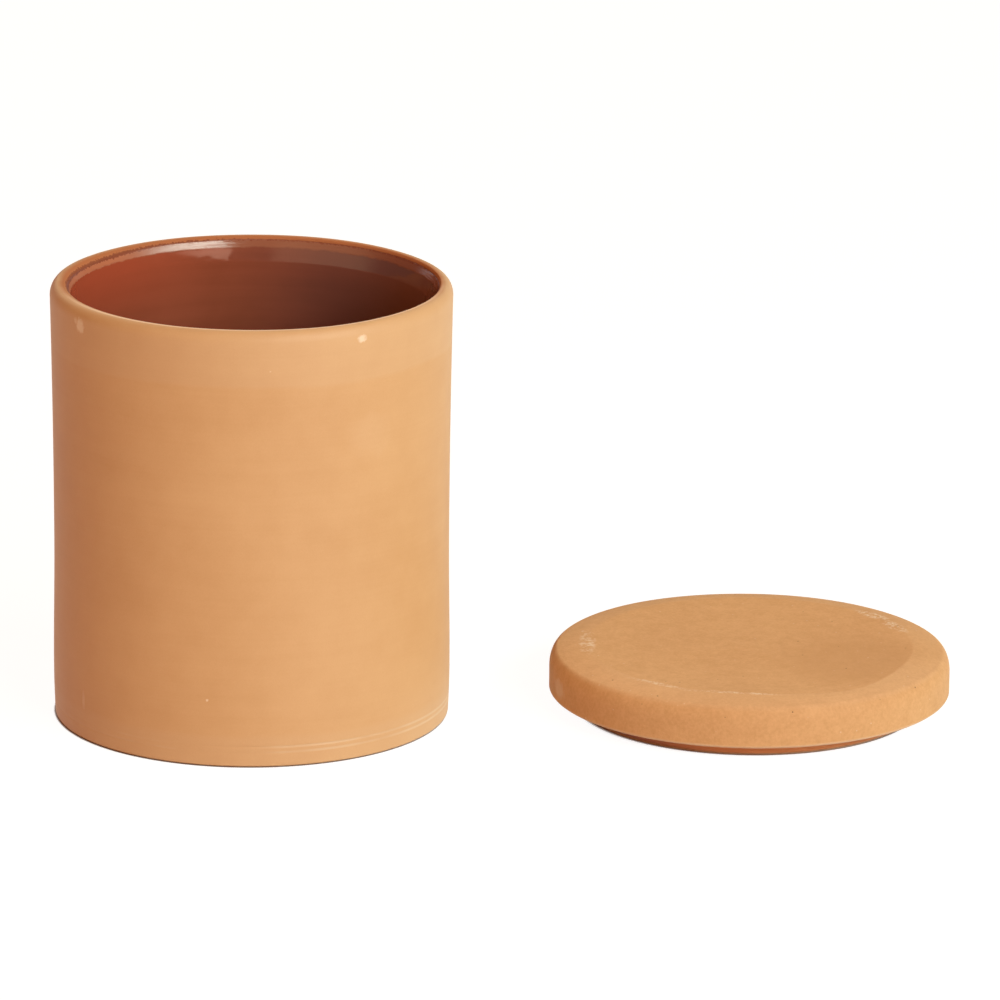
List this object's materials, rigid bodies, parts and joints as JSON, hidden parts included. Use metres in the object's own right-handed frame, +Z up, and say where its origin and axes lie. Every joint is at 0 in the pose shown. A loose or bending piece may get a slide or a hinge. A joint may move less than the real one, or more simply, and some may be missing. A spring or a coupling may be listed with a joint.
{
  "type": "terracotta canister with lid",
  "caption": "Straight-sided clay storage jar, raw outside and glazed inside, with a thick dished lid that drops into the mouth on a shallow ring; shown with the lid lying beside it.",
  "frame": {"origin": "centre of the canister's flat base, on the surface that it stands on", "axes": "+Z up along the canister's axis, out of its mouth; +X towards the lid, which lies beside it on the same surface"},
  "size_m": [0.29, 0.1296, 0.1421],
  "materials": {
    "raw_terracotta": "matte, unglazed, fine turning rings",
    "inside_glaze": "glossy clear glaze over red-brown clay",
    "lid_terracotta": "matte, unglazed, sandy with fine pores",
    "lid_glaze": "glossy clear glaze over red-brown clay"
  },
  "bodies": {
    "canister": {"canister_body": "raw_terracotta", "canister_glaze": "inside_glaze"},
    "lid": {"lid_body": "lid_terracotta", "lid_spigot_glaze": "lid_glaze", "lid_underside_glaze": "lid_glaze"}
  },
  "joints": [
    {"name": "lid_lift", "type": "slide", "parent": "canister", "child": "lid", "axis": [0, 0, 1], "range_m": [0, 0.16]}
  ]
}
